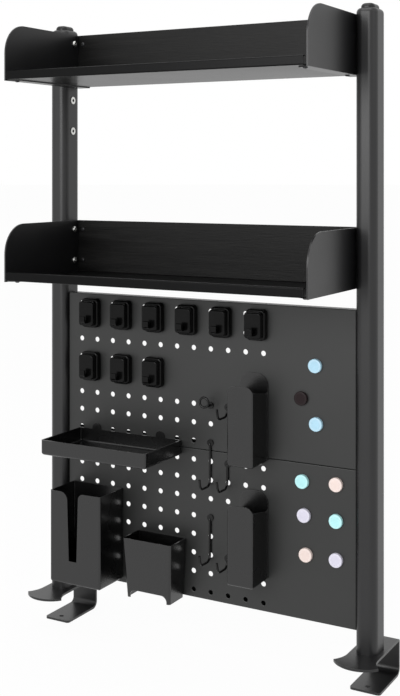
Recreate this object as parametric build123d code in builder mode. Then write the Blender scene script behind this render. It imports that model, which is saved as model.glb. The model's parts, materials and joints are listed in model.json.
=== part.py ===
from build123d import *
import os

# Clamp-on pegboard rack for a desk: two uprights on desk clamps carry two open shelves and
# two steel peg panels, with holders, hooks and magnets on the panels.
# Millimetres. +X runs to the right, +Y away from the person at the desk and +Z up. The origin
# is the middle of the desk's rear top edge, which both clamps grip.

# ---------------- driving dimensions ----------------

# uprights: tubes with well rounded corners
inner_width = 438.0  # clear width between the uprights
post_width = 28.0
post_depth = 38.0
post_corner_radius = 10.0
post_wall = 1.5
post_height = 800.0
post_setback = 50.0  # from the desk's rear edge to the middle of the uprights
post_shoulder_radius = 6.0  # rolled top edge of the tube
cap_inset = 5.0  # dark cap's edge inside the tube's outline
cap_dome_height = 6.0
cap_dome_radius = 5.0
cap_plug_inset = 8.0
cap_plug_depth = 14.0
foot_insert_height = 24.0

# desk clamps: one bent strip each, with a flared toe on the desk
clamp_thickness = 3.0
clamp_width = 40.0
clamp_opening = 40.0  # thickest desk that the clamp takes
clamp_bend_radius = 7.0  # inside radius at the lower bend
clamp_top_bend_radius = 1.0  # inside radius at the upper bend
jaw_reach = 70.0
jaw_corner_radius = 4.0
jaw_screw_hole_d = 6.8  # tapping size of an M8 thread
jaw_screw_inset = 12.0
toe_reach = 114.0
toe_width = 58.0
toe_shoulder = 99.0
toe_neck = 76.0
foot_screw_spacing = 18.0

# peg panels: folded steel sheet
pitch_x = 26.0
pitch_z = 25.0
hole_columns = 12
hole_rows = 8
peg_hole_d = 7.0
first_column_inset = 23.0  # from the left upright to the first column of holes
bottom_row_rise = 10.5  # from a panel's lower edge to its lowest row of holes
panels_bottom_z = 27.5
panel_lead = 10.0  # panel front ahead of the middle of the uprights
panel_sheet = 1.2
panel_fold_depth = 16.0
panel_return = 8.5  # lip folded up behind the lower edge
panel_fold_radius = 1.0
panel_seam = 0.4
panel_screw_inset = 32.0
# unpunched places, each as rows and columns counted from the lower left hole
upper_blanks = (((3, 4), range(6, 12)), ((0, 1), (9,)))
lower_blanks = (((1, 3, 4), (9,)),)

# shelves
lower_shelf_z = 453.5
upper_shelf_z = 720.0
shelf_reach = 158.0  # from the middle of the uprights to the shelf's front
shelf_tail = 16.0  # from the middle of the uprights to the shelf's back
end_plate_height = 76.0
end_plate_sheet = 2.0
end_plate_corner_radius = 40.0
end_plate_flange = 16.0
flange_front_inset = 6.0
flange_sheet = 1.5
back_flange_drop = 6.0  # from the end plate's top edge to its back flange
pan_sheet = 1.2
pan_outer_bend = 1.6
pan_inner_bend = 0.4
lip_height = 13.0
lip_hem = 5.0
pan_end_gap = 4.0  # visible gap between the lip and the right end plate
front_pan_screw_inset = 15.0
rear_pan_screw_inset = 30.0
back_board_thickness = 5.0
back_board_chamfer = 0.6
shelf_screw_spacing = 44.0
shelf_screw_rise = 19.0
spare_holes_z = 658.0

# fasteners
nut_flange_d = 10.5
nut_flange_thickness = 0.8
nut_barrel_d = 7.0
nut_length = 11.0
screw_shank_d = 4.1
screw_head_d = 9.2
screw_head_height = 2.6
screw_socket_d = 3.4
screw_socket_depth = 1.5
screw_length = 10.0
small_screw_shank_d = 2.6
small_screw_head_d = 6.0
small_screw_head_height = 1.6
countersink_head_d = 8.4
foot_screw_length = 17.4
board_screw_length = 6.0
screw_play = 0.4  # all round the screws that hold panels and end plates
fit_gap = 0.1  # round parts fixed inside round holes
touch_gap = 0.3  # pieces that lie beside each other

# hung pieces
peg_d = 6.0
peg_length = 6.0
seat_gap = 0.3  # behind each hung piece
holder_wall = 1.6
holder_corner_radius = 3.0
cup_shift = 3.0  # cup's middle from the middle of its pegs

tray_width = 166.0
tray_depth = 94.0
tray_height = 20.5
tray_top_z = 236.5
tray_bottom_radius = 4.0
tray_shift = 2.5
tray_ear_width = 14.0

slot_box_width = 83.0
slot_box_depth = 58.0
slot_box_height = 126.0
slot_box_bottom_z = 33.0
slot_box_bottom_radius = 3.0
slot_box_shift = 2.0
slot_width = 13.0
slot_mouth_width = 18.0
slot_shift = -3.5  # slot's middle from the box's middle
slot_floor_rise = 32.0
slot_left_shoulder = 12.0
slot_right_shoulder = 8.0

cup_top_width = 76.0
cup_top_depth = 42.0
cup_bottom_width = 67.0
cup_bottom_depth = 37.0
cup_height = 80.0
cup_top_z = 105.0
cup_skirt = 12.5
cup_gap_height = 10.5  # opening under the cup's front wall
cup_gap_margin = 5.0
cup_gap_radius = 8.0

pen_box_width = 37.0
pen_box_depth = 43.0
pen_box_height = 103.0
pen_box_corner_radius = 10.0
pen_box_bottom_radius = 3.0
pen_box_side_drop = 7.0  # side walls' top edges below the front wall's
pen_plate_width = 41.0
pen_plate_rise = 12.0
pen_plate_radius = 16.0
upper_pen_box_z = 222.0
lower_pen_box_z = 69.0

# wire hooks
wire_d = 3.0
wire_bend = 3.0
prong_bend = 8.0
prong_reach = 26.0
prong_lean = 3.0
prong_rise = 14.0
boss_d = 9.0
boss_thickness = 1.6
long_stem = 57.0
middle_stem = 32.0
short_stem = 12.0
ring_d = 13.0
ring_reach = 18.0

# square hooks, stuck on with pads
hook_width = 28.0
hook_height = 41.0
hook_corner_radius = 6.0
hook_base_depth = 8.0
hook_base_edge = 2.5
hook_face_width = 24.0
hook_face_height = 34.0
hook_face_depth = 9.0
hook_face_corner_radius = 4.0
hook_face_edge = 2.0
hook_lip_width = 8.0
hook_lip_reach = 9.0
hook_lip_thickness = 2.6
hook_lip_rise = 10.0
hook_lip_drop = 13.0  # from the body's middle down to the lip's root
hook_lip_bends = (4.0, 1.0, 1.0, 1.6)  # from under the root round to the inside
hook_pad_thickness = 0.8
hook_shift = 5.0
hook_pad_inset = 2.0

# magnets
magnet_d = 18.0
magnet_thickness = 4.5
magnet_edge_radius = 1.2

# ---------------- places worked out from them ----------------

post_x = inner_width / 2 + post_width / 2
post_y = -post_setback
post_bottom_z = clamp_thickness
post_top_z = post_bottom_z + post_height
seat_x = inner_width / 2 - nut_flange_thickness
panel_front_y = post_y - panel_lead
panel_width = 2 * seat_x
panel_height = hole_rows * pitch_z - panel_seam
first_column_x = -inner_width / 2 + first_column_inset
shelf_front_y = post_y - shelf_reach
shelf_rear_y = post_y + shelf_tail
shelf_depth = shelf_rear_y - shelf_front_y
seat_y = panel_front_y - seat_gap
peg_tip_y = panel_front_y + peg_length
lower_panel_z = panels_bottom_z
upper_panel_z = panels_bottom_z + hole_rows * pitch_z
sides = ("left", -1), ("right", 1)


def column_x(column):
    return first_column_x + column * pitch_x


def row_z(panel_z, row):
    return panel_z + bottom_row_rise + row * pitch_z


panel_screw_heights = [
    panel_z + rise
    for panel_z in (lower_panel_z, upper_panel_z)
    for rise in (panel_screw_inset, panel_height - panel_screw_inset)
]
shelf_screw_heights = [
    shelf_z + shelf_screw_rise + step
    for shelf_z in (lower_shelf_z, upper_shelf_z)
    for step in (0, shelf_screw_spacing)
]
spare_heights = [spare_holes_z, spare_holes_z + shelf_screw_spacing]
nut_heights = panel_screw_heights + shelf_screw_heights + spare_heights

os.makedirs("parts", exist_ok=True)


def save(solid, label):
    solid.label = label
    export_step(solid, "parts/" + label + ".step")


# ---------------- uprights, caps and foot inserts ----------------

plug_inset = post_wall + fit_gap
for side, sign in sides:
    with BuildPart() as upright:
        with BuildSketch(Plane.XY.offset(post_bottom_z)):
            with Locations((sign * post_x, post_y)):
                RectangleRounded(post_width, post_depth, post_corner_radius)
        extrude(amount=post_height)
        fillet(upright.edges().group_by(Axis.Z)[-1], post_shoulder_radius)
        # hollow, open at the foot and nearly closed by the rolled top
        with BuildSketch(Plane.XY.offset(post_bottom_z)):
            with Locations((sign * post_x, post_y)):
                RectangleRounded(
                    post_width - 2 * post_wall,
                    post_depth - 2 * post_wall,
                    post_corner_radius - post_wall,
                )
        extrude(amount=post_height - post_shoulder_radius - post_wall, mode=Mode.SUBTRACT)
        with BuildSketch(Plane.XY.offset(post_top_z)):
            with Locations((sign * post_x, post_y)):
                RectangleRounded(
                    post_width - 2 * cap_plug_inset,
                    post_depth - 2 * cap_plug_inset,
                    post_corner_radius / 2,
                )
        extrude(amount=-post_shoulder_radius - 2 * post_wall, mode=Mode.SUBTRACT)
        # holes for the rivet nuts, through the inner wall only
        with BuildSketch(Plane.YZ.offset(sign * inner_width / 2)):
            with Locations([(post_y, height) for height in nut_heights]):
                Circle(nut_barrel_d / 2 + fit_gap)
        extrude(amount=sign * (post_wall + 1), mode=Mode.SUBTRACT)
    save(upright.part, side + "_upright")

    with BuildPart() as cap:
        with BuildSketch(Plane.XY.offset(post_top_z)):
            with Locations((sign * post_x, post_y)):
                RectangleRounded(
                    post_width - 2 * cap_inset,
                    post_depth - 2 * cap_inset,
                    post_corner_radius - cap_inset / 2,
                )
        extrude(amount=cap_dome_height)
        fillet(cap.edges().group_by(Axis.Z)[-1], cap_dome_radius)
        # plug that presses into the tube's opening
        with BuildSketch(Plane.XY.offset(post_top_z)):
            with Locations((sign * post_x, post_y)):
                RectangleRounded(
                    post_width - 2 * cap_plug_inset - 2 * fit_gap,
                    post_depth - 2 * cap_plug_inset - 2 * fit_gap,
                    post_corner_radius / 2 - fit_gap,
                )
        extrude(amount=-cap_plug_depth)
    save(cap.part, side + "_top_cap")

    with BuildPart() as insert:
        with BuildSketch(Plane.XY.offset(post_bottom_z)):
            with Locations((sign * post_x, post_y)):
                RectangleRounded(
                    post_width - 2 * plug_inset,
                    post_depth - 2 * plug_inset,
                    post_corner_radius - plug_inset,
                )
                with GridLocations(0, foot_screw_spacing, 1, 2):
                    Circle(screw_shank_d / 2 + fit_gap, mode=Mode.SUBTRACT)
        extrude(amount=foot_insert_height)
    save(insert.part, side + "_foot_insert")

# ---------------- desk clamps ----------------

for side, sign in sides:
    clamp_x = sign * post_x
    outer_bend = clamp_bend_radius + clamp_thickness
    top_outer_bend = clamp_top_bend_radius + clamp_thickness
    jaw_top_z = -clamp_opening
    jaw_bottom_z = jaw_top_z - clamp_thickness
    with BuildPart() as clamp:
        # bent strip, seen from the side
        with BuildSketch(Plane.YZ.offset(clamp_x)):
            with BuildLine():
                FilletPolyline(
                    (-toe_shoulder, clamp_thickness),
                    (clamp_thickness, clamp_thickness),
                    (clamp_thickness, jaw_bottom_z),
                    (-jaw_reach, jaw_bottom_z),
                    radius=(top_outer_bend, outer_bend),
                )
                Line((-jaw_reach, jaw_bottom_z), (-jaw_reach, jaw_top_z))
                FilletPolyline(
                    (-jaw_reach, jaw_top_z),
                    (0, jaw_top_z),
                    (0, 0),
                    (-toe_shoulder, 0),
                    radius=(clamp_bend_radius, clamp_top_bend_radius),
                )
                Line((-toe_shoulder, 0), (-toe_shoulder, clamp_thickness))
            make_face()
        extrude(amount=clamp_width / 2, both=True)
        # flared toe, seen from above
        with BuildSketch():
            with BuildLine():
                half_neck = clamp_width / 2
                half_toe = toe_width / 2
                left_flare = TangentArc(
                    (clamp_x - half_neck, -toe_neck),
                    (clamp_x - half_toe, -toe_shoulder),
                    tangent=(0, -1),
                )
                front_arc = ThreePointArc(
                    left_flare @ 1,
                    (clamp_x, -toe_reach),
                    (clamp_x + half_toe, -toe_shoulder),
                )
                right_flare = TangentArc(
                    (clamp_x + half_neck, -toe_neck),
                    front_arc @ 1,
                    tangent=(0, -1),
                )
                Line(left_flare @ 0, right_flare @ 0)
            make_face()
        extrude(amount=clamp_thickness)
        # countersunk holes under the upright
        with Locations(Plane((clamp_x, post_y, 0), x_dir=(1, 0, 0), z_dir=(0, 0, -1))):
            with GridLocations(0, foot_screw_spacing, 1, 2):
                CounterSinkHole(
                    screw_shank_d / 2 + fit_gap,
                    countersink_head_d / 2 + fit_gap,
                    clamp_thickness,
                )
        # threaded hole for a desk screw, and rounded jaw corners
        with BuildSketch(Plane.XY.offset(jaw_top_z)):
            with Locations((clamp_x, -jaw_reach + jaw_screw_inset)):
                Circle(jaw_screw_hole_d / 2)
        extrude(amount=-clamp_thickness, mode=Mode.SUBTRACT)
        jaw_corners = (
            clamp.edges()
            .filter_by(Axis.Z)
            .filter_by(lambda edge: edge.center().Y < -jaw_reach + 1 and edge.center().Z < jaw_top_z)
        )
        fillet(jaw_corners, jaw_corner_radius)
    save(clamp.part, side + "_clamp_bracket")


# ---------------- fasteners ----------------


def button_screw(shank_d, head_d, head_height, length):
    # stands on the XY plane, head up, shank down
    with BuildPart(mode=Mode.PRIVATE) as screw:
        with BuildSketch(Plane.XZ):
            with BuildLine():
                head_edge = Line((head_d / 2, 0), (head_d / 2, head_height * 0.35))
                crown = ThreePointArc(
                    head_edge @ 1,
                    (head_d * 0.38, head_height * 0.85),
                    (head_d * 0.2, head_height),
                )
                Polyline(
                    crown @ 1,
                    (0, head_height),
                    (0, -length),
                    (shank_d / 2, -length),
                    (shank_d / 2, 0),
                    (head_d / 2, 0),
                )
            make_face()
        revolve(axis=Axis.Z)
        with BuildSketch(Plane.XY.offset(head_height)):
            RegularPolygon(head_d * 0.19, 6)
        extrude(amount=-head_height * 0.6, mode=Mode.SUBTRACT)
    return screw.part


def rivet_nut():
    # stands on the XY plane, flange up, barrel down
    with BuildPart(mode=Mode.PRIVATE) as nut:
        with BuildSketch():
            Circle(nut_flange_d / 2)
        extrude(amount=nut_flange_thickness)
        with BuildSketch():
            Circle(nut_barrel_d / 2)
        extrude(amount=-nut_length)
        Hole(screw_shank_d / 2 + fit_gap)
    return nut.part


def facing_in(sign, x, y, z):
    # plane at a point, with its normal towards the rack's middle
    return Plane((x, y, z), x_dir=(0, 1, 0), z_dir=(-sign, 0, 0))


nut = rivet_nut()
frame_screw = button_screw(screw_shank_d, screw_head_d, screw_head_height, screw_length)
small_screw = button_screw(
    small_screw_shank_d, small_screw_head_d, small_screw_head_height, flange_sheet + pan_sheet
)
board_screw = button_screw(
    small_screw_shank_d, small_screw_head_d, small_screw_head_height, board_screw_length
)

nut_places = [
    facing_in(sign, sign * inner_width / 2, post_y, height)
    for side, sign in sides
    for height in nut_heights
]
with BuildPart() as rivet_nuts:
    with Locations(nut_places):
        add(nut)
save(rivet_nuts.part, "rivet_nuts")

with BuildPart() as panel_screws:
    with Locations(
        [
            facing_in(sign, sign * (seat_x - panel_sheet), post_y, height)
            for side, sign in sides
            for height in panel_screw_heights
        ]
    ):
        add(frame_screw)
save(panel_screws.part, "panel_screws")

with BuildPart() as shelf_screws:
    with Locations(
        [
            facing_in(sign, sign * (seat_x - end_plate_sheet), post_y, height)
            for side, sign in sides
            for height in shelf_screw_heights
        ]
    ):
        add(frame_screw)
save(shelf_screws.part, "shelf_screws")

with BuildPart() as foot_screw:
    with BuildSketch(Plane.XZ):
        head_half = countersink_head_d / 2
        shank_half = screw_shank_d / 2
        head_cone = head_half - shank_half
        with BuildLine():
            Polyline(
                (0, 0),
                (head_half, 0),
                (shank_half, head_cone),
                (shank_half, foot_screw_length),
                (0, foot_screw_length),
                close=True,
            )
        make_face()
    revolve(axis=Axis.Z)
    with BuildSketch():
        RegularPolygon(screw_socket_d / 2, 6)
    extrude(amount=screw_socket_depth, mode=Mode.SUBTRACT)
with BuildPart() as foot_screws:
    with Locations((-post_x, post_y, 0), (post_x, post_y, 0)):
        with GridLocations(0, foot_screw_spacing, 1, 2):
            add(foot_screw.part)
save(foot_screws.part, "foot_screws")

# ---------------- peg panels ----------------


def peg_panel(panel_z, blanks):
    with BuildPart() as panel:
        # folded sheet, open at the back
        with BuildSketch(Plane.XZ.offset(-panel_front_y)):
            with Locations((0, panel_z + panel_height / 2)):
                Rectangle(panel_width, panel_height)
        extrude(amount=-panel_fold_depth)
        fillet(panel.faces().sort_by(Axis.Y)[0].edges(), panel_fold_radius)
        offset(
            amount=-panel_sheet,
            openings=panel.faces().sort_by(Axis.Y)[-1],
            kind=Kind.INTERSECTION,
        )
        # lip folded up behind the lower edge
        with BuildSketch(Plane.XZ.offset(-panel_front_y - panel_fold_depth)):
            with Locations((0, panel_z)):
                Rectangle(panel_width, panel_return, align=(Align.CENTER, Align.MIN))
        extrude(amount=panel_sheet)
        # holes for pegs
        punched = [
            (column_x(column), row_z(panel_z, row))
            for row in range(hole_rows)
            for column in range(hole_columns)
            if not any(row in rows and column in columns for rows, columns in blanks)
        ]
        with BuildSketch(Plane.XZ.offset(-panel_front_y)):
            with Locations(punched):
                Circle(peg_hole_d / 2)
        extrude(amount=-panel_sheet, mode=Mode.SUBTRACT)
        # holes for the screws to the uprights
        screw_heights = [panel_z + panel_screw_inset, panel_z + panel_height - panel_screw_inset]
        with BuildSketch(Plane.YZ):
            with Locations([(post_y, height) for height in screw_heights]):
                Circle(screw_shank_d / 2 + screw_play)
        extrude(amount=panel_width, both=True, mode=Mode.SUBTRACT)
    return panel.part


save(peg_panel(lower_panel_z, lower_blanks), "lower_peg_panel")
save(peg_panel(upper_panel_z, upper_blanks), "upper_peg_panel")

# ---------------- shelves ----------------

pan_half = seat_x - end_plate_sheet - touch_gap
flange_front_y = shelf_front_y + flange_front_inset
front_pan_screw_y = shelf_front_y + front_pan_screw_inset
rear_pan_screw_y = shelf_rear_y - rear_pan_screw_inset
pan_screw_x = seat_x - end_plate_sheet - end_plate_flange / 2
board_screw_rise = (shelf_screw_rise, shelf_screw_rise + shelf_screw_spacing)
board_front_y = shelf_rear_y - flange_sheet - back_board_thickness

for shelf, shelf_z in (("lower", lower_shelf_z), ("upper", upper_shelf_z)):
    for side, sign in sides:
        with BuildPart() as end_plate:
            with BuildSketch(Plane.YZ.offset(sign * seat_x)):
                with BuildLine():
                    corner_start = (shelf_front_y, shelf_z + end_plate_height - end_plate_corner_radius)
                    corner_end = (shelf_front_y + end_plate_corner_radius, shelf_z + end_plate_height)
                    RadiusArc(corner_start, corner_end, end_plate_corner_radius)
                    Polyline(
                        corner_end,
                        (shelf_rear_y, shelf_z + end_plate_height),
                        (shelf_rear_y, shelf_z),
                        (shelf_front_y, shelf_z),
                        corner_start,
                    )
                make_face()
                with Locations(
                    [
                        (post_y, shelf_z + shelf_screw_rise),
                        (post_y, shelf_z + shelf_screw_rise + shelf_screw_spacing),
                    ]
                ):
                    Circle(screw_shank_d / 2 + screw_play, mode=Mode.SUBTRACT)
            extrude(amount=-sign * end_plate_sheet)
            # flange under the pan
            inner_face_x = sign * (seat_x - end_plate_sheet)
            with BuildSketch(Plane.XY.offset(shelf_z)):
                with BuildLine():
                    Polyline(
                        (inner_face_x, flange_front_y),
                        (inner_face_x - sign * end_plate_flange, flange_front_y + end_plate_flange / 2),
                        (inner_face_x - sign * end_plate_flange, shelf_rear_y),
                        (inner_face_x, shelf_rear_y),
                        close=True,
                    )
                make_face()
                with Locations(
                    [(sign * pan_screw_x, front_pan_screw_y), (sign * pan_screw_x, rear_pan_screw_y)]
                ):
                    Circle(small_screw_shank_d / 2 + fit_gap, mode=Mode.SUBTRACT)
            extrude(amount=flange_sheet)
            # flange behind the back board
            with BuildSketch(Plane.XZ.offset(-shelf_rear_y)):
                with Locations((inner_face_x - sign * end_plate_flange / 2, shelf_z)):
                    Rectangle(
                        end_plate_flange,
                        end_plate_height - back_flange_drop,
                        align=(Align.CENTER, Align.MIN),
                    )
                with Locations([(sign * pan_screw_x, shelf_z + rise) for rise in board_screw_rise]):
                    Circle(small_screw_shank_d / 2 + fit_gap, mode=Mode.SUBTRACT)
            extrude(amount=flange_sheet)
        save(end_plate.part, shelf + "_shelf_" + side + "_end")

    pan_bottom_z = shelf_z + flange_sheet
    board_rear_y = shelf_rear_y - flange_sheet
    with BuildPart() as pan:
        # floor, front lip and hem, seen from the side
        with BuildSketch(Plane.YZ):
            with BuildLine():
                FilletPolyline(
                    (board_rear_y, pan_bottom_z),
                    (shelf_front_y, pan_bottom_z),
                    (shelf_front_y, shelf_z + lip_height),
                    (shelf_front_y + lip_hem, shelf_z + lip_height),
                    radius=pan_outer_bend,
                )
                Line(
                    (shelf_front_y + lip_hem, shelf_z + lip_height),
                    (shelf_front_y + lip_hem, shelf_z + lip_height - pan_sheet),
                )
                FilletPolyline(
                    (shelf_front_y + lip_hem, shelf_z + lip_height - pan_sheet),
                    (shelf_front_y + pan_sheet, shelf_z + lip_height - pan_sheet),
                    (shelf_front_y + pan_sheet, pan_bottom_z + pan_sheet),
                    (board_rear_y, pan_bottom_z + pan_sheet),
                    radius=pan_inner_bend,
                )
                Line((board_rear_y, pan_bottom_z + pan_sheet), (board_rear_y, pan_bottom_z))
            make_face()
        extrude(amount=pan_half, both=True)
        # the lip stops short of the right end plate
        with BuildSketch(Plane.XY.offset(pan_bottom_z)):
            with Locations((pan_half, shelf_front_y)):
                Rectangle(2 * pan_end_gap, 2 * lip_hem + 1)
        extrude(amount=lip_height, mode=Mode.SUBTRACT)
        with BuildSketch(Plane.XY.offset(pan_bottom_z)):
            with Locations(
                [
                    (sign * pan_screw_x, screw_y)
                    for side, sign in sides
                    for screw_y in (front_pan_screw_y, rear_pan_screw_y)
                ]
            ):
                Circle(small_screw_shank_d / 2 + fit_gap)
        extrude(amount=pan_sheet, mode=Mode.SUBTRACT)
    save(pan.part, shelf + "_shelf_pan")

    board_bottom_z = pan_bottom_z + pan_sheet
    board_height = shelf_z + end_plate_height - board_bottom_z
    with BuildPart() as board:
        with BuildSketch(Plane.XZ.offset(-board_rear_y)):
            with Locations((0, board_bottom_z)):
                Rectangle(2 * pan_half, board_height, align=(Align.CENTER, Align.MIN))
        extrude(amount=back_board_thickness)
        chamfer(board.edges().filter_by(Axis.X), back_board_chamfer)
        with BuildSketch(Plane.XZ.offset(-board_rear_y)):
            with Locations(
                [
                    (sign * pan_screw_x, shelf_z + rise)
                    for side, sign in sides
                    for rise in board_screw_rise
                ]
            ):
                Circle(small_screw_shank_d / 2 + fit_gap)
        extrude(amount=back_board_thickness, mode=Mode.SUBTRACT)
    save(board.part, shelf + "_shelf_back_board")

with BuildPart() as pan_screws:
    with Locations(
        [
            Plane((sign * pan_screw_x, screw_y, shelf_z), z_dir=(0, 0, -1))
            for shelf_z in (lower_shelf_z, upper_shelf_z)
            for side, sign in sides
            for screw_y in (front_pan_screw_y, rear_pan_screw_y)
        ]
    ):
        add(small_screw)
save(pan_screws.part, "pan_screws")

with BuildPart() as board_screws:
    with Locations(
        [
            Plane((sign * pan_screw_x, board_front_y, shelf_z + rise), z_dir=(0, -1, 0))
            for shelf_z in (lower_shelf_z, upper_shelf_z)
            for side, sign in sides
            for rise in board_screw_rise
        ]
    ):
        add(board_screw)
save(board_screws.part, "board_screws")

# ---------------- holders that plug into the peg holes ----------------


def pegs(places):
    # round pegs from a piece's back into the panel's holes, at (x, z) places
    with BuildPart() as peg_set:
        with BuildSketch(Plane.XZ.offset(-seat_y)):
            with Locations(places):
                Circle(peg_d / 2)
        extrude(amount=-(peg_tip_y - seat_y))
    return peg_set.part


with BuildPart() as tray:
    tray_x = column_x(3) + tray_shift
    with BuildSketch(Plane.XY.offset(tray_top_z)):
        with Locations((tray_x, seat_y - tray_depth / 2)):
            RectangleRounded(tray_width, tray_depth, holder_corner_radius)
    extrude(amount=-tray_height)
    fillet(tray.faces().sort_by(Axis.Z)[0].edges(), tray_bottom_radius)
    offset(
        amount=-holder_wall,
        openings=tray.faces().sort_by(Axis.Z)[-1],
        kind=Kind.INTERSECTION,
    )
    # ears that rise behind the rim and carry the upper pegs
    tray_peg_z = row_z(upper_panel_z, 0)
    ear_bottom_z = tray_top_z - tray_height / 2
    for column in (1, 5):
        with BuildSketch(Plane.XZ.offset(-seat_y)):
            with Locations((column_x(column), ear_bottom_z)):
                Rectangle(
                    tray_ear_width, tray_peg_z - ear_bottom_z, align=(Align.CENTER, Align.MIN)
                )
            with Locations((column_x(column), tray_peg_z)):
                Circle(tray_ear_width / 2)
        extrude(amount=holder_wall)
    add(pegs([(column_x(column), tray_peg_z) for column in (1, 5)]))
save(tray.part, "tray")

with BuildPart() as slotted_box:
    box_x = column_x(1) + slot_box_shift
    slot_x = box_x + slot_shift
    slot_box_top_z = slot_box_bottom_z + slot_box_height
    with BuildSketch(Plane.XY.offset(slot_box_bottom_z)):
        with Locations((box_x, seat_y - slot_box_depth / 2)):
            RectangleRounded(slot_box_width, slot_box_depth, holder_corner_radius)
    extrude(amount=slot_box_height)
    fillet(slotted_box.faces().sort_by(Axis.Z)[0].edges(), slot_box_bottom_radius)
    offset(
        amount=-holder_wall,
        openings=slotted_box.faces().sort_by(Axis.Z)[-1],
        kind=Kind.INTERSECTION,
    )
    # slot that narrows downwards, with round shoulders at its mouth
    with BuildSketch(Plane.XZ.offset(-seat_y + slot_box_depth)):
        with BuildLine():
            half_mouth = slot_mouth_width / 2
            left_shoulder = TangentArc(
                (slot_x - half_mouth - slot_left_shoulder, slot_box_top_z),
                (slot_x - half_mouth, slot_box_top_z - slot_left_shoulder),
                tangent=(1, 0),
            )
            right_shoulder = TangentArc(
                (slot_x + half_mouth + slot_right_shoulder, slot_box_top_z),
                (slot_x + half_mouth, slot_box_top_z - slot_right_shoulder),
                tangent=(-1, 0),
            )
            Polyline(
                left_shoulder @ 1,
                (slot_x - slot_width / 2, slot_box_bottom_z + slot_floor_rise),
                (slot_x + slot_width / 2, slot_box_bottom_z + slot_floor_rise),
                right_shoulder @ 1,
            )
            Line(left_shoulder @ 0, right_shoulder @ 0)
        make_face()
    extrude(amount=-2 * holder_wall, mode=Mode.SUBTRACT)
    add(pegs([(column_x(column), row_z(lower_panel_z, row)) for column in (0, 2) for row in (1, 4)]))
save(slotted_box.part, "slotted_box")

with BuildPart() as cup:
    cup_x = column_x(5) + cup_shift
    cup_bottom_z = cup_top_z - cup_height
    cup_base_y = seat_y - cup_bottom_depth / 2
    cup_rim_y = seat_y - cup_top_depth / 2
    with BuildSketch(Plane.XY.offset(cup_bottom_z)):
        with Locations((cup_x, cup_base_y)):
            RectangleRounded(cup_bottom_width, cup_bottom_depth, holder_corner_radius)
    with BuildSketch(Plane.XY.offset(cup_top_z)):
        with Locations((cup_x, cup_rim_y)):
            RectangleRounded(cup_top_width, cup_top_depth, holder_corner_radius)
    loft(ruled=True)
    # hollow above the floor, and a skirt below it that is open at the front
    floor_z = cup_bottom_z + cup_skirt
    floor_share = cup_skirt / cup_height
    floor_width = cup_bottom_width + floor_share * (cup_top_width - cup_bottom_width)
    floor_depth = cup_bottom_depth + floor_share * (cup_top_depth - cup_bottom_depth)
    with BuildSketch(Plane.XY.offset(floor_z)):
        with Locations((cup_x, seat_y - floor_depth / 2)):
            RectangleRounded(
                floor_width - 2 * holder_wall,
                floor_depth - 2 * holder_wall,
                holder_corner_radius - holder_wall,
            )
    with BuildSketch(Plane.XY.offset(cup_top_z)):
        with Locations((cup_x, cup_rim_y)):
            RectangleRounded(
                cup_top_width - 2 * holder_wall,
                cup_top_depth - 2 * holder_wall,
                holder_corner_radius - holder_wall,
            )
    loft(ruled=True, mode=Mode.SUBTRACT)
    with BuildSketch(Plane.XY.offset(cup_bottom_z)):
        with Locations((cup_x, cup_base_y)):
            Rectangle(cup_bottom_width - 2 * holder_wall, cup_bottom_depth - 2 * holder_wall)
    extrude(amount=cup_skirt - holder_wall, mode=Mode.SUBTRACT)
    with BuildSketch(Plane.XZ.offset(-seat_y + cup_top_depth)):
        with Locations((cup_x, cup_bottom_z)):
            RectangleRounded(
                cup_bottom_width - 2 * cup_gap_margin, 2 * cup_gap_height, cup_gap_radius
            )
    extrude(amount=-cup_top_depth / 2, mode=Mode.SUBTRACT)
    add(pegs([(column_x(column), row_z(lower_panel_z, row)) for column in (4, 6) for row in (1, 2)]))
save(cup.part, "cup")


def pen_box(bottom_z, peg_rows, panel_z):
    pen_x = (column_x(10) + column_x(11)) / 2
    top_z = bottom_z + pen_box_height
    front_y = seat_y - pen_box_depth
    with BuildPart() as box:
        with BuildSketch(Plane.XY.offset(bottom_z)):
            with Locations((pen_x, seat_y - pen_box_depth / 2)):
                RectangleRounded(pen_box_width, pen_box_depth, holder_corner_radius)
        extrude(amount=pen_box_height)
        fillet(box.faces().sort_by(Axis.Z)[0].edges(), pen_box_bottom_radius)
        offset(
            amount=-holder_wall,
            openings=box.faces().sort_by(Axis.Z)[-1],
            kind=Kind.INTERSECTION,
        )
        # the side walls fall away behind the front wall
        with BuildSketch(Plane.YZ.offset(pen_x)):
            with BuildLine():
                Polyline(
                    (front_y + holder_corner_radius, top_z - pen_box_side_drop),
                    (seat_y, top_z - 2 * pen_box_side_drop),
                    (seat_y, top_z),
                    (front_y + holder_corner_radius, top_z),
                    close=True,
                )
            make_face()
        extrude(amount=pen_box_width, both=True, mode=Mode.SUBTRACT)
        # round upper corners on the front wall
        with BuildSketch(Plane.XZ.offset(-front_y)):
            with Locations((pen_x, top_z)):
                Rectangle(pen_box_width, 2 * pen_box_corner_radius)
            with Locations((pen_x, top_z - pen_box_height / 2)):
                RectangleRounded(
                    pen_box_width, pen_box_height, pen_box_corner_radius, mode=Mode.SUBTRACT
                )
        extrude(amount=-holder_corner_radius, mode=Mode.SUBTRACT)
        # back plate with a round top, and its pegs
        with BuildSketch(Plane.XZ.offset(-seat_y)):
            with Locations((pen_x, top_z + pen_plate_rise)):
                RectangleRounded(
                    pen_plate_width, pen_box_height, pen_plate_radius, align=(Align.CENTER, Align.MAX)
                )
            with Locations((pen_x, bottom_z + pen_box_bottom_radius)):
                Rectangle(pen_plate_width, pen_box_height / 2, align=(Align.CENTER, Align.MIN))
        extrude(amount=holder_wall)
        add(pegs([(column_x(column), row_z(panel_z, row)) for column in (10, 11) for row in peg_rows]))
    return box.part


save(pen_box(upper_pen_box_z, (0, 2), upper_panel_z), "upper_pen_box")
save(pen_box(lower_pen_box_z, (2, 4), lower_panel_z), "lower_pen_box")

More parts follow.
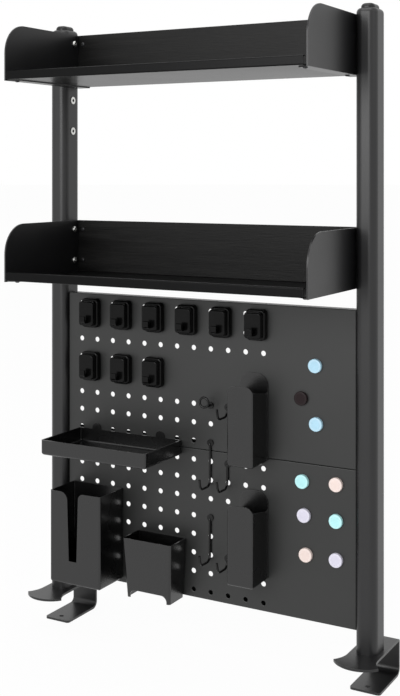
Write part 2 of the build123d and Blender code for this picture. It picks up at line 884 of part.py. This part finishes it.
# ---------------- wire hooks ----------------


def wire(points, bend):
    path = FilletPolyline(*points, radius=bend)
    start = Plane(origin=path @ 0, z_dir=path % 0)
    return sweep(start * Circle(wire_d / 2), path=path)


def boss(x, peg_z):
    # small round plate that stops the wire at the panel
    return Plane((x, seat_y, peg_z), z_dir=(0, -1, 0)) * extrude(Circle(boss_d / 2), boss_thickness)


def j_hook(x, peg_z, stem):
    wire_y = seat_y - boss_thickness
    foot_z = peg_z - stem
    tip_y = wire_y - prong_reach
    points = [
        (x, peg_tip_y, peg_z),
        (x, wire_y, peg_z),
        (x, wire_y, foot_z),
        (x, tip_y, foot_z),
        (x, tip_y - prong_lean, foot_z + prong_rise),
    ]
    return wire(points, (wire_bend, prong_bend, prong_bend)) + boss(x, peg_z)


def ring_hook(x, peg_z):
    ring_y = seat_y - ring_reach
    ring_centre = (x, ring_y, peg_z + ring_d / 2)
    stalk = Plane((x, peg_tip_y, peg_z), z_dir=(0, -1, 0)) * extrude(
        Circle(wire_d / 2), peg_tip_y - ring_y
    )
    return stalk + Plane(ring_centre, z_dir=(0, 1, 0)) * Torus(ring_d / 2, wire_d / 2) + boss(x, peg_z)


save(ring_hook(column_x(8), row_z(upper_panel_z, 2)), "ring_hook")
save(j_hook(column_x(8), row_z(upper_panel_z, 0), long_stem), "upper_long_hook")
save(j_hook(column_x(8), row_z(lower_panel_z, 4), long_stem), "lower_long_hook")
save(j_hook(column_x(9), row_z(upper_panel_z, 2), short_stem), "upper_short_hook")
save(j_hook(column_x(9), row_z(lower_panel_z, 7), middle_stem), "middle_short_hook")
save(j_hook(column_x(9), row_z(lower_panel_z, 2), short_stem), "lower_short_hook")

# ---------------- square hooks and their pads ----------------


def square_hook(x, z):
    pad_front_y = panel_front_y - hook_pad_thickness
    face_y = pad_front_y - hook_base_depth - hook_face_depth
    with BuildPart() as hook:
        with BuildSketch(Plane.XZ.offset(-pad_front_y)):
            with Locations((x, z)):
                RectangleRounded(hook_width, hook_height, hook_corner_radius)
        extrude(amount=hook_base_depth)
        fillet(hook.faces().sort_by(Axis.Y)[0].edges(), hook_base_edge)
        with BuildSketch(Plane.XZ.offset(-pad_front_y + hook_base_depth)):
            with Locations((x, z)):
                RectangleRounded(hook_face_width, hook_face_height, hook_face_corner_radius)
        extrude(amount=hook_face_depth)
        fillet(hook.faces().sort_by(Axis.Y)[0].edges(), hook_face_edge)
        # J-shaped lip, seen from the side
        root_z = z - hook_lip_drop
        tip_y = face_y - hook_lip_reach
        with BuildSketch(Plane.YZ.offset(x)):
            with BuildLine():
                FilletPolyline(
                    (face_y + 1, root_z),
                    (tip_y, root_z),
                    (tip_y, root_z + hook_lip_rise),
                    (tip_y + hook_lip_thickness, root_z + hook_lip_rise),
                    (tip_y + hook_lip_thickness, root_z + hook_lip_thickness),
                    (face_y + 1, root_z + hook_lip_thickness),
                    radius=hook_lip_bends,
                )
                Line((face_y + 1, root_z + hook_lip_thickness), (face_y + 1, root_z))
            make_face()
        extrude(amount=hook_lip_width / 2, both=True)
    return hook.part


hook_places = []
for row, pairs in ((6, 6), (3, 3)):
    for pair in range(pairs):
        hook_x = (column_x(2 * pair) + column_x(2 * pair + 1)) / 2 + hook_shift
        hook_z = (row_z(upper_panel_z, row) + row_z(upper_panel_z, row + 1)) / 2
        hook_places.append((hook_x, hook_z))
for number, (hook_x, hook_z) in enumerate(hook_places, start=1):
    save(square_hook(hook_x, hook_z), "square_hook_" + str(number))

with BuildPart() as hook_pads:
    with BuildSketch(Plane.XZ.offset(-panel_front_y)):
        with Locations(hook_places):
            RectangleRounded(
                hook_width - 2 * hook_pad_inset,
                hook_height - 2 * hook_pad_inset,
                hook_corner_radius - hook_pad_inset,
            )
    extrude(amount=hook_pad_thickness)
save(hook_pads.part, "hook_pads")

# ---------------- magnets ----------------

# each as a share of the plain strip beside the holes, and a height above the panels' lower edge
magnet_places = [
    (0.57, 325.5),
    (0.42, 282.5),
    (0.58, 251.5),
    (0.43, 176.5),
    (0.79, 178.5),
    (0.45, 133.5),
    (0.79, 132.5),
    (0.47, 83.5),
    (0.79, 83.5),
]
strip_left_x = column_x(hole_columns - 1)
strip_width = inner_width / 2 - strip_left_x
for number, (share, rise) in enumerate(magnet_places, start=1):
    with BuildPart() as magnet:
        with BuildSketch(Plane.XZ.offset(-panel_front_y)):
            with Locations((strip_left_x + share * strip_width, panels_bottom_z + rise)):
                Circle(magnet_d / 2)
        extrude(amount=magnet_thickness)
        fillet(magnet.faces().sort_by(Axis.Y)[0].edges(), magnet_edge_radius)
    save(magnet.part, "magnet_" + str(number))
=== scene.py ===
import json
import math
import bpy
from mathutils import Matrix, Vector


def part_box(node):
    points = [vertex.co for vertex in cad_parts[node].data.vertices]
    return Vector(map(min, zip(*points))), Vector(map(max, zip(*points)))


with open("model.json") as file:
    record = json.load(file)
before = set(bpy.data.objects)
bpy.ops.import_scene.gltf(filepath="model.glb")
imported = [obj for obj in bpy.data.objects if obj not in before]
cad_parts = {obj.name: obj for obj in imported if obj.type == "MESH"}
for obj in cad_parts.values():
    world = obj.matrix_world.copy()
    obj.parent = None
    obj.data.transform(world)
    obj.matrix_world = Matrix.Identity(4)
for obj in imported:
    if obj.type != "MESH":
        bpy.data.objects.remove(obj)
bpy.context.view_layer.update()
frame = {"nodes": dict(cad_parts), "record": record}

nodes = frame["nodes"]
print("frame loaded:", len(nodes), "nodes")


# helpers that put one shader node down and join it to what feeds it
def addNode(tree, kind, spot):
    node = tree.nodes.new(kind)
    node.location = spot
    return node


def startMaterial(name):
    mat = bpy.data.materials.new(name)
    mat.use_nodes = True
    tree = mat.node_tree
    coords = addNode(tree, "ShaderNodeTexCoord", (-1100, 0))
    return mat, tree, tree.nodes["Principled BSDF"], coords


def addNoise(tree, coords, stretch, scale, detail, height):
    mapping = addNode(tree, "ShaderNodeMapping", (-900, height))
    mapping.inputs["Scale"].default_value = stretch
    noise = addNode(tree, "ShaderNodeTexNoise", (-700, height))
    noise.inputs["Scale"].default_value = scale
    noise.inputs["Detail"].default_value = detail
    tree.links.new(coords.outputs["Object"], mapping.inputs["Vector"])
    tree.links.new(mapping.outputs["Vector"], noise.inputs["Vector"])
    return noise


def addRamp(tree, source, stops, height):
    ramp = addNode(tree, "ShaderNodeValToRGB", (-480, height))
    for element, (position, colour) in zip(ramp.color_ramp.elements, stops):
        element.position = position
        element.color = (*colour, 1)
    tree.links.new(source, ramp.inputs["Fac"])
    return ramp.outputs["Color"]


def addRange(tree, source, limits, spot):
    # limits are from and to of what comes in, then from and to of what goes out
    mapRange = addNode(tree, "ShaderNodeMapRange", spot)
    for socket, limit in zip(("From Min", "From Max", "To Min", "To Max"), limits):
        mapRange.inputs[socket].default_value = limit
    tree.links.new(source, mapRange.inputs["Value"])
    return mapRange.outputs["Result"]


def addProduct(tree, first, second, spot):
    product = addNode(tree, "ShaderNodeMath", spot)
    product.operation = "MULTIPLY"
    tree.links.new(first, product.inputs[0])
    tree.links.new(second, product.inputs[1])
    return product.outputs["Value"]


def addBlend(tree, share, under, spot):
    # a colour mix whose second colour is set or linked by the caller
    blend = addNode(tree, "ShaderNodeMix", spot)
    blend.data_type = "RGBA"
    tree.links.new(under, blend.inputs[6])
    if share is not None:
        tree.links.new(share, blend.inputs[0])
    return blend


def addBump(tree, shader, source, strength, distance, spot):
    bump = addNode(tree, "ShaderNodeBump", spot)
    bump.inputs["Strength"].default_value = strength
    bump.inputs["Distance"].default_value = distance
    tree.links.new(source, bump.inputs["Height"])
    tree.links.new(bump.outputs["Normal"], shader.inputs["Normal"])


def shade(colour, factor):
    return tuple(min(1.0, channel * factor) for channel in colour)


# sprayed coats, plastics and plating
# drift is how far colour wanders, over patches set by driftScale; the edge settings paint a
# highlight, lightening the colour along a sheet's edges and folds where light catches them
sprayed = dict(roughnessSpan=0.05, driftDetail=3, driftLow=0.35, driftHigh=0.65,
               grainDetail=2, grainDepth=0.0002)
edgeHighlightLook = dict(edgeHighlightShare=1.0, edgeHighlightColour=(0.10, 0.10, 0.10), edgeHighlightWidth=0.0007,
              edgeHighlightStart=0.985, edgeHighlightFull=0.80, edgeHighlightSamples=6)
coats = {
    "frameCoat": dict(colour=(0.0075, 0.0075, 0.008), roughness=0.38, ior=1.50,
                      drift=0.12, driftScale=9, grainScale=1400, bump=0.18),
    "clampCoat": dict(colour=(0.008, 0.008, 0.0085), roughness=0.34, ior=1.50,
                      drift=0.12, driftScale=20, grainScale=1200, bump=0.25, **edgeHighlightLook),
    "panelCoat": dict(colour=(0.013, 0.0135, 0.013), roughness=0.42, ior=1.52,
                      drift=0.10, driftScale=7, grainScale=1600, bump=0.25, **edgeHighlightLook),
    "shelfCoat": dict(colour=(0.0055, 0.0055, 0.006), roughness=0.34, ior=1.45,
                      drift=0.15, driftScale=8, grainScale=1500, bump=0.16, **edgeHighlightLook),
    "panCoat": dict(colour=(0.0022, 0.0022, 0.0024), roughness=0.32, ior=1.20,
                    drift=0.15, driftScale=6, grainScale=1500, bump=0.10, **edgeHighlightLook),
    "holderCoat": dict(colour=(0.0014, 0.0014, 0.0015), roughness=0.27, ior=1.60,
                       drift=0.12, driftScale=14, grainScale=1500, bump=0.18, **edgeHighlightLook),
    "wireCoat": dict(colour=(0.003, 0.003, 0.003), roughness=0.24, ior=1.38,
                     drift=0.15, driftScale=60, grainScale=900, bump=0.12),
    "hookGloss": dict(colour=(0.0025, 0.0025, 0.0025), roughness=0.20, ior=1.25,
                      drift=0.15, driftScale=50, grainScale=700, bump=0.06),
    "padFoam": dict(colour=(0.05, 0.05, 0.05), roughness=0.85, ior=1.50,
                    drift=0.15, driftScale=90, grainScale=1800, bump=0.6),
    "capPlastic": dict(colour=(0.004, 0.004, 0.004), roughness=0.34, ior=1.40,
                       drift=0.12, driftScale=40, grainScale=1800, bump=0.2),
    "zincPlate": dict(colour=(0.62, 0.62, 0.60), roughness=0.28, ior=1.50, metallic=1.0,
                      drift=0.10, driftScale=300, grainScale=1200, bump=0.2),
    "darkOxide": dict(colour=(0.020, 0.020, 0.022), roughness=0.35, ior=1.50, metallic=0.3,
                      drift=0.15, driftScale=200, grainScale=1500, bump=0.2),
}


def paintedEdgeHighlightMask(tree, drift, look):
    # painted highlight, lighter where a sheet ends or folds and light catches the edge: found by
    # rounding the normal a little
    rounded = addNode(tree, "ShaderNodeBevel", (-1100, 500))
    rounded.samples = look["edgeHighlightSamples"]
    rounded.inputs["Radius"].default_value = look["edgeHighlightWidth"]
    plain = addNode(tree, "ShaderNodeNewGeometry", (-1100, 350))
    likeness = addNode(tree, "ShaderNodeVectorMath", (-900, 450))
    likeness.operation = "DOT_PRODUCT"
    tree.links.new(rounded.outputs["Normal"], likeness.inputs[0])
    tree.links.new(plain.outputs["True Normal"], likeness.inputs[1])
    edgeHighlightStrip = addRange(tree, likeness.outputs["Value"],
                     (look["edgeHighlightStart"], look["edgeHighlightFull"], 0, look["edgeHighlightShare"]), (-700, 450))
    return addProduct(tree, edgeHighlightStrip, drift, (-480, 450))


def coatedMetal(name, look):
    mat, tree, shader, coords = startMaterial(name)
    # slow drift in colour and roughness, as a sprayed coat has
    drift = addNoise(tree, coords, (1, 1, 1), look["driftScale"],
                     sprayed["driftDetail"], 200).outputs["Fac"]
    colour = addRamp(tree, drift, (
        (sprayed["driftLow"], shade(look["colour"], 1 - look["drift"])),
        (sprayed["driftHigh"], shade(look["colour"], 1 + look["drift"]))), 250)
    span = sprayed["roughnessSpan"]
    rough = addRange(tree, drift, (0, 1, look["roughness"] - span, look["roughness"] + span),
                     (-480, 0))
    tree.links.new(rough, shader.inputs["Roughness"])
    # paint a highlight along edges and folds, where light catches them
    if "edgeHighlightShare" in look:
        highlightedEdges = addBlend(tree, paintedEdgeHighlightMask(tree, drift, look), colour, (-220, 320))
        highlightedEdges.inputs[7].default_value = (*look["edgeHighlightColour"], 1)
        colour = highlightedEdges.outputs[2]
    tree.links.new(colour, shader.inputs["Base Color"])
    # fine grain of the powder
    grain = addNoise(tree, coords, (1, 1, 1), look["grainScale"], sprayed["grainDetail"], -250)
    addBump(tree, shader, grain.outputs["Fac"], look["bump"], sprayed["grainDepth"], (-300, -250))
    shader.inputs["Metallic"].default_value = look.get("metallic", 0.0)
    shader.inputs["IOR"].default_value = look["ior"]
    return mat


# black wood grain of the shelves' back boards
woodLook = dict(colour=(0.0045, 0.0044, 0.0042), roughness=0.42, ior=1.28, bump=0.45,
                bandStretch=(1.2, 20, 22), bandScale=7, bandDetail=5, bandWaver=0.6,
                bandLow=0.38, bandHigh=0.66, bandDark=0.55, bandLight=1.7,
                poreStretch=(5, 120, 120), poreScale=9, poreDetail=3, poreDepth=0.0004,
                poreLow=0.40, poreHigh=0.55, poreDark=(0.35, 0.35, 0.35), poreShare=0.6,
                smoother=0.08, rougher=0.10)


def blackWood(name, look):
    mat, tree, shader, coords = startMaterial(name)
    # long grain along the board, with finer pores over it
    bands = addNoise(tree, coords, look["bandStretch"], look["bandScale"], look["bandDetail"], 200)
    bands.inputs["Distortion"].default_value = look["bandWaver"]
    pores = addNoise(tree, coords, look["poreStretch"], look["poreScale"], look["poreDetail"], -200)
    grain = addRamp(tree, bands.outputs["Fac"], (
        (look["bandLow"], shade(look["colour"], look["bandDark"])),
        (look["bandHigh"], shade(look["colour"], look["bandLight"]))), 250)
    poreTint = addRamp(tree, pores.outputs["Fac"], (
        (look["poreLow"], look["poreDark"]), (look["poreHigh"], (1, 1, 1))), -50)
    both = addBlend(tree, None, grain, (-250, 200))
    both.blend_type = "MULTIPLY"
    both.inputs[0].default_value = look["poreShare"]
    tree.links.new(poreTint, both.inputs[7])
    tree.links.new(both.outputs[2], shader.inputs["Base Color"])
    rough = addRange(tree, bands.outputs["Fac"], (
        0, 1, look["roughness"] - look["smoother"], look["roughness"] + look["rougher"]),
        (-250, -50))
    tree.links.new(rough, shader.inputs["Roughness"])
    addBump(tree, shader, pores.outputs["Fac"], look["bump"], look["poreDepth"], (-200, -300))
    shader.inputs["IOR"].default_value = look["ior"]
    return mat


# round magnets, each a flat coloured face with a painted highlight ring near its rounded edge,
# where light catches the fillet
magnetColours = {
    "lightBlue": (0.45, 0.72, 0.88),
    "darkBrown": (0.010, 0.003, 0.004),
    "cyan": (0.47, 0.87, 0.89),
    "peach": (0.86, 0.71, 0.66),
    "lilac": (0.70, 0.68, 0.80),
}
magnetLook = dict(roughness=0.30, drift=0.03, driftScale=120, grainScale=900, bump=0.06)
magnetRimHighlight = dict(faceRadius=0.0060, inside=0.0065, outside=0.0078, fade=0.0006, edge=0.3,
                 light=0.45, darkLight=0.02, pale=0.25, ior=1.5, darkIor=1.3, darkBelow=0.1)


def roundMagnet(nodeName, colour):
    dark = max(colour) < magnetRimHighlight["darkBelow"]
    mat = coatedMetal(nodeName + "_finish", dict(
        colour=colour, ior=magnetRimHighlight["darkIor" if dark else "ior"], **magnetLook))
    tree = mat.node_tree
    shader = tree.nodes["Principled BSDF"]
    coords = tree.nodes["Texture Coordinate"]
    # distance from the magnet's own middle, over its face
    low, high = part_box(nodeName)
    place = addNode(tree, "ShaderNodeMapping", (-900, 700))
    place.inputs["Location"].default_value = (-(low[0] + high[0]) / 2, 0, -(low[2] + high[2]) / 2)
    place.inputs["Scale"].default_value = (1, 0, 1)
    reach = addNode(tree, "ShaderNodeVectorMath", (-700, 700))
    reach.operation = "LENGTH"
    tree.links.new(coords.outputs["Object"], place.inputs["Vector"])
    tree.links.new(place.outputs["Vector"], reach.inputs[0])
    # painted highlight: a pale ring near the rounded edge, and a fainter paling beyond it, where
    # light catches the fillet
    rise = addRange(tree, reach.outputs["Value"], (
        magnetRimHighlight["faceRadius"], magnetRimHighlight["inside"],
        0, magnetRimHighlight["darkLight" if dark else "light"]), (-480, 700))
    fall = addRange(tree, reach.outputs["Value"], (
        magnetRimHighlight["outside"], magnetRimHighlight["outside"] + magnetRimHighlight["fade"],
        1, magnetRimHighlight["edge"]), (-480, 950))
    rimHighlightShare = addProduct(tree, rise, fall, (-250, 800))
    face = shader.inputs["Base Color"].links[0].from_socket
    rimHighlightBlend = addBlend(tree, rimHighlightShare, face, (-60, 500))
    pale = magnetRimHighlight["pale"]
    rimHighlightBlend.inputs[7].default_value = (*[min(1.0, pale + (1 - pale) * c) for c in colour], 1)
    tree.links.new(rimHighlightBlend.outputs[2], shader.inputs["Base Color"])
    return mat


finish = {name: coatedMetal(name, look) for name, look in coats.items()}
finish["blackWood"] = blackWood("blackWood", woodLook)
print("materials made:", len(finish))

# which finish goes on which of the record's slots
finishBySlot = {
    "black_frame": "frameCoat", "black_clamp": "clampCoat", "black_panel": "panelCoat",
    "black_shelf": "shelfCoat", "shelf_pan": "panCoat", "wood_grain_board": "blackWood",
    "dark_plastic": "capPlastic", "holder_black": "holderCoat", "wire_black": "wireCoat",
    "hook_gloss_black": "hookGloss", "pad_grey": "padFoam", "bright_fastener": "zincPlate",
    "dark_fastener": "darkOxide", "magnet_light_blue": "lightBlue",
    "magnet_dark_brown": "darkBrown", "magnet_cyan": "cyan", "magnet_peach": "peach",
    "magnet_lilac": "lilac",
}
slotByNode = {entry["node"]: entry["material_slot"] for entry in frame["record"]["subparts"]}
for nodeName, node in nodes.items():
    look = finishBySlot[slotByNode[nodeName]]
    isMagnet = look in magnetColours
    node.data.materials.clear()
    node.data.materials.append(
        roundMagnet(nodeName, magnetColours[look]) if isMagnet else finish[look])
print("finishes set on all nodes")

# floor, world and soft lamps
studio = dict(floorZ=-0.0436, floorSize=200.0, floorColour=(0.86, 0.86, 0.86),
              floorRoughness=0.9, floorWhite=0.955, worldLevel=0.66)


def whiteForCamera(tree, litShader, level):
    # seen straight or in gloss it is white, and it still takes a soft shadow
    glow = addNode(tree, "ShaderNodeEmission", (-200, -400))
    glow.inputs["Color"].default_value = (1, 1, 1, 1)
    glow.inputs["Strength"].default_value = 1.0
    path = addNode(tree, "ShaderNodeLightPath", (-800, 400))
    seen = addNode(tree, "ShaderNodeMath", (-600, 400))
    seen.operation = "MAXIMUM"
    tree.links.new(path.outputs["Is Camera Ray"], seen.inputs[0])
    tree.links.new(path.outputs["Is Glossy Ray"], seen.inputs[1])
    share = addNode(tree, "ShaderNodeMath", (-400, 400))
    share.operation = "MULTIPLY"
    share.inputs[1].default_value = level
    tree.links.new(seen.outputs["Value"], share.inputs[0])
    mix = addNode(tree, "ShaderNodeMixShader", (100, 200))
    tree.links.new(share.outputs["Value"], mix.inputs[0])
    tree.links.new(litShader, mix.inputs[1])
    tree.links.new(glow.outputs["Emission"], mix.inputs[2])
    return mix.outputs["Shader"]


bpy.ops.object.select_all(action="DESELECT")
bpy.ops.mesh.primitive_plane_add(size=studio["floorSize"], location=(0, 0, studio["floorZ"]))
floor = bpy.context.active_object
floor.name = "studioFloor"
floorMat = bpy.data.materials.new("paleFloor")
floorMat.use_nodes = True
floorTree = floorMat.node_tree
floorShader = floorTree.nodes["Principled BSDF"]
floorShader.inputs["Base Color"].default_value = (*studio["floorColour"], 1)
floorShader.inputs["Roughness"].default_value = studio["floorRoughness"]
floorTree.links.new(whiteForCamera(floorTree, floorShader.outputs["BSDF"], studio["floorWhite"]),
                    floorTree.nodes["Material Output"].inputs["Surface"])
floor.data.materials.append(floorMat)

world = bpy.data.worlds.new("studioWorld")
world.use_nodes = True
bpy.context.scene.world = world
worldTree = world.node_tree
sky = worldTree.nodes["Background"]
sky.inputs["Color"].default_value = (1, 1, 1, 1)
sky.inputs["Strength"].default_value = studio["worldLevel"]
worldTree.links.new(whiteForCamera(worldTree, sky.outputs["Background"], 1.0),
                    worldTree.nodes["World Output"].inputs["Surface"])

lamps = {
    "keyLamp": dict(place=(-0.35, -2.3, 1.15), size=1.3, power=27),
    "sideLamp": dict(place=(2.3, -0.9, 1.7), size=1.4, power=4),
    "topLamp": dict(place=(0.0, -0.5, 2.4), size=1.4, power=12),
}
aim = Vector((0, -0.05, 0.4))
for name, lamp in lamps.items():
    light = bpy.data.lights.new(name, "AREA")
    light.energy = lamp["power"]
    light.size = lamp["size"]
    holder = bpy.data.objects.new(name, light)
    holder.location = lamp["place"]
    holder.rotation_euler = (aim - Vector(lamp["place"])).to_track_quat("-Z", "Y").to_euler()
    bpy.context.scene.collection.objects.link(holder)
print("studio ready")

# the camera looks level from the right, at the photograph's angle
view = dict(place=(0.75997, -1.43997, 0.59914), turn=29.95, lens=60.82,
            sensorWidth=36, shiftX=0.0287, shiftY=-0.2529, near=0.05, far=60)
camData = bpy.data.cameras.new("camera")
camData.sensor_width = view["sensorWidth"]
camData.lens = view["lens"]
camData.shift_x = view["shiftX"]
camData.shift_y = view["shiftY"]
camData.clip_start = view["near"]
camData.clip_end = view["far"]
camera = bpy.data.objects.new("camera", camData)
camera.location = view["place"]
camera.rotation_euler = (math.radians(90), 0, math.radians(view["turn"]))
bpy.context.scene.collection.objects.link(camera)
bpy.context.scene.camera = camera
bpy.context.scene.view_settings.view_transform = "Standard"
print("camera set")
